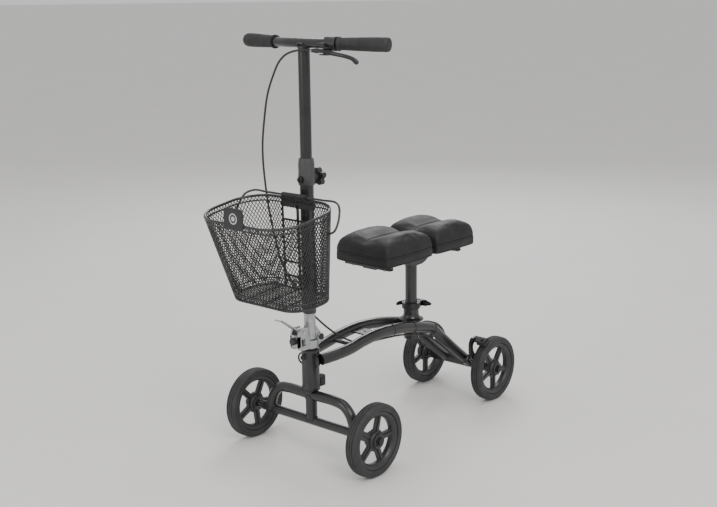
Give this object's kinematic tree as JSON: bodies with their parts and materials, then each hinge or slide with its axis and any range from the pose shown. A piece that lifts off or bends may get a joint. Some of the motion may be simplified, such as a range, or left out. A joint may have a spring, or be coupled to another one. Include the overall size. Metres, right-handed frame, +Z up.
{
  "type": "knee scooter",
  "caption": "Steerable knee scooter with a bent tube frame, folding height-adjustable tiller, padded knee rests on a sliding post, wire basket and cable brake.",
  "frame": {"origin": "on the floor, under the centre of the bounding box", "axes": "+X forward, +Y to the rider's left, +Z up"},
  "size_m": [0.9312, 0.4494, 1.0162],
  "materials": {
    "frame_paint": "gloss black powder coat",
    "bare_metal": "bright zinc plating",
    "grey_plastic": "dark grey satin moulding",
    "black_plastic": "black satin moulding",
    "tyre": "solid black tyre",
    "rubber": "matt black rubber",
    "vinyl": "black grained vinyl over foam",
    "wire": "black plastic-coated steel wire",
    "cable": "black cable housing"
  },
  "bodies": {
    "main_frame": {"head_tube": "frame_paint", "headset_cup_lower": "bare_metal", "headset_cup_upper": "bare_metal", "steering_stop": "rubber", "frame_rail_left": "frame_paint", "frame_rail_right": "frame_paint", "rear_axle_tube": "frame_paint", "rail_cross_tube": "frame_paint", "rail_cross_plate": "frame_paint", "seat_tube": "frame_paint", "seat_clamp_collar": "frame_paint", "seat_clamp_bolt": "frame_paint", "axle_bolt_rear_left": "frame_paint", "axle_bolt_rear_right": "frame_paint", "brake_bracket": "frame_paint", "brake_cable_frame": "cable"},
    "steering_fork": {"front_axle_tube": "frame_paint", "fork_crossbar": "frame_paint", "steering_mast": "bare_metal", "fold_bracket": "bare_metal", "fold_pin": "frame_paint", "fold_adjuster": "black_plastic", "axle_bolt_front_left": "frame_paint", "axle_bolt_front_right": "frame_paint", "brake_cable_lower": "cable"},
    "tiller": {"tiller_tube": "frame_paint", "tiller_collar": "grey_plastic", "clamp_bolt": "frame_paint", "fold_spigot": "bare_metal", "basket_bracket": "frame_paint", "brake_cable_middle": "cable"},
    "handles": {"handle_post": "frame_paint", "handlebar": "frame_paint", "grip_left": "rubber", "grip_right": "rubber", "brake_lever_clamp": "frame_paint", "brake_cable_upper": "cable"},
    "hand_lever": {"brake_lever": "bare_metal"},
    "knob": {"height_knob": "black_plastic"},
    "wheel_brake": {"brake_arm": "frame_paint"},
    "knee_rest": {"seat_post": "frame_paint", "seat_beam": "frame_paint", "pad_plate_front": "frame_paint", "pad_plate_rear": "frame_paint", "knee_pad_front": "vinyl", "knee_pad_rear": "vinyl"},
    "seat_clamp": {"seat_clamp_lever": "frame_paint"},
    "fold_latch": {"fold_lever": "bare_metal"},
    "carrier_basket": {"basket": "wire", "basket_badge": "black_plastic"},
    "basket_handle": {"basket_bail": "wire"},
    "wheel_front_left": {"tyre_front_left": "tyre", "wheel_core_front_left": "black_plastic"},
    "wheel_front_right": {"tyre_front_right": "tyre", "wheel_core_front_right": "black_plastic"},
    "wheel_rear_left": {"tyre_rear_left": "tyre", "wheel_core_rear_left": "black_plastic"},
    "wheel_rear_right": {"tyre_rear_right": "tyre", "wheel_core_rear_right": "black_plastic"}
  },
  "joints": [
    {"name": "steering", "type": "hinge", "parent": "main_frame", "child": "steering_fork", "pos_m": [0.22825, 0, 0.2], "axis": [0, 0, 1], "range_deg": [-40, 40], "deforming": ["brake_cable_lower"]},
    {"name": "tiller_fold", "type": "hinge", "parent": "steering_fork", "child": "tiller", "pos_m": [0.20425, 0, 0.3], "axis": [0, 1, 0], "range_deg": [-36, 0], "deforming": ["brake_cable_middle"]},
    {"name": "handlebar_height", "type": "slide", "parent": "tiller", "child": "handles", "axis": [0, 0, 1], "range_m": [-0.21, 0.016], "deforming": ["brake_cable_upper"]},
    {"name": "height_knob_turn", "type": "hinge", "parent": "tiller", "child": "knob", "pos_m": [0.22825, 0, 0.688], "axis": [1, 0, 0], "continuous": true},
    {"name": "brake_lever_pull", "type": "hinge", "parent": "handles", "child": "hand_lever", "pos_m": [0.24525, 0.081, 0.985], "axis": [0.53, 0, 0.848], "range_deg": [0, 14], "stiffness_Nm_per_rad": 0.4},
    {"name": "brake_arm_swing", "type": "hinge", "parent": "main_frame", "child": "wheel_brake", "pos_m": [-0.32375, 0.088, 0.126], "axis": [0, 1, 0], "range_deg": [-5, 0]},
    {"name": "knee_rest_height", "type": "slide", "parent": "main_frame", "child": "knee_rest", "axis": [0, 0, 1], "range_m": [-0.055, 0.045]},
    {"name": "seat_clamp_turn", "type": "hinge", "parent": "main_frame", "child": "seat_clamp", "pos_m": [-0.19875, -0.026, 0.2965], "axis": [0, 0, 1], "range_deg": [-120, 0]},
    {"name": "fold_latch_turn", "type": "hinge", "parent": "steering_fork", "child": "fold_latch", "pos_m": [0.26425, 0, 0.324], "axis": [0, 1, 0], "range_deg": [-50, 0]},
    {"name": "basket_lift", "type": "slide", "parent": "tiller", "child": "carrier_basket", "axis": [0, 0, 1], "range_m": [0, 0.12]},
    {"name": "basket_handle_swing", "type": "hinge", "parent": "carrier_basket", "child": "basket_handle", "pos_m": [0.31625, 0, 0.592], "axis": [0, 1, 0], "range_deg": [0, 65]},
    {"name": "wheel_front_left_spin", "type": "hinge", "parent": "steering_fork", "child": "wheel_front_left", "pos_m": [0.22825, 0.2, 0.0889], "axis": [0, 1, 0], "continuous": true},
    {"name": "wheel_front_right_spin", "type": "hinge", "parent": "steering_fork", "child": "wheel_front_right", "pos_m": [0.22825, -0.2, 0.0889], "axis": [0, 1, 0], "continuous": true},
    {"name": "wheel_rear_left_spin", "type": "hinge", "parent": "main_frame", "child": "wheel_rear_left", "pos_m": [-0.37675, 0.118, 0.0889], "axis": [0, 1, 0], "continuous": true},
    {"name": "wheel_rear_right_spin", "type": "hinge", "parent": "main_frame", "child": "wheel_rear_right", "pos_m": [-0.37675, -0.118, 0.0889], "axis": [0, 1, 0], "continuous": true}
  ],
  "couplings": [
    {"joint": "brake_arm_swing", "follows": "brake_lever_pull", "ratio": -0.357}
  ]
}
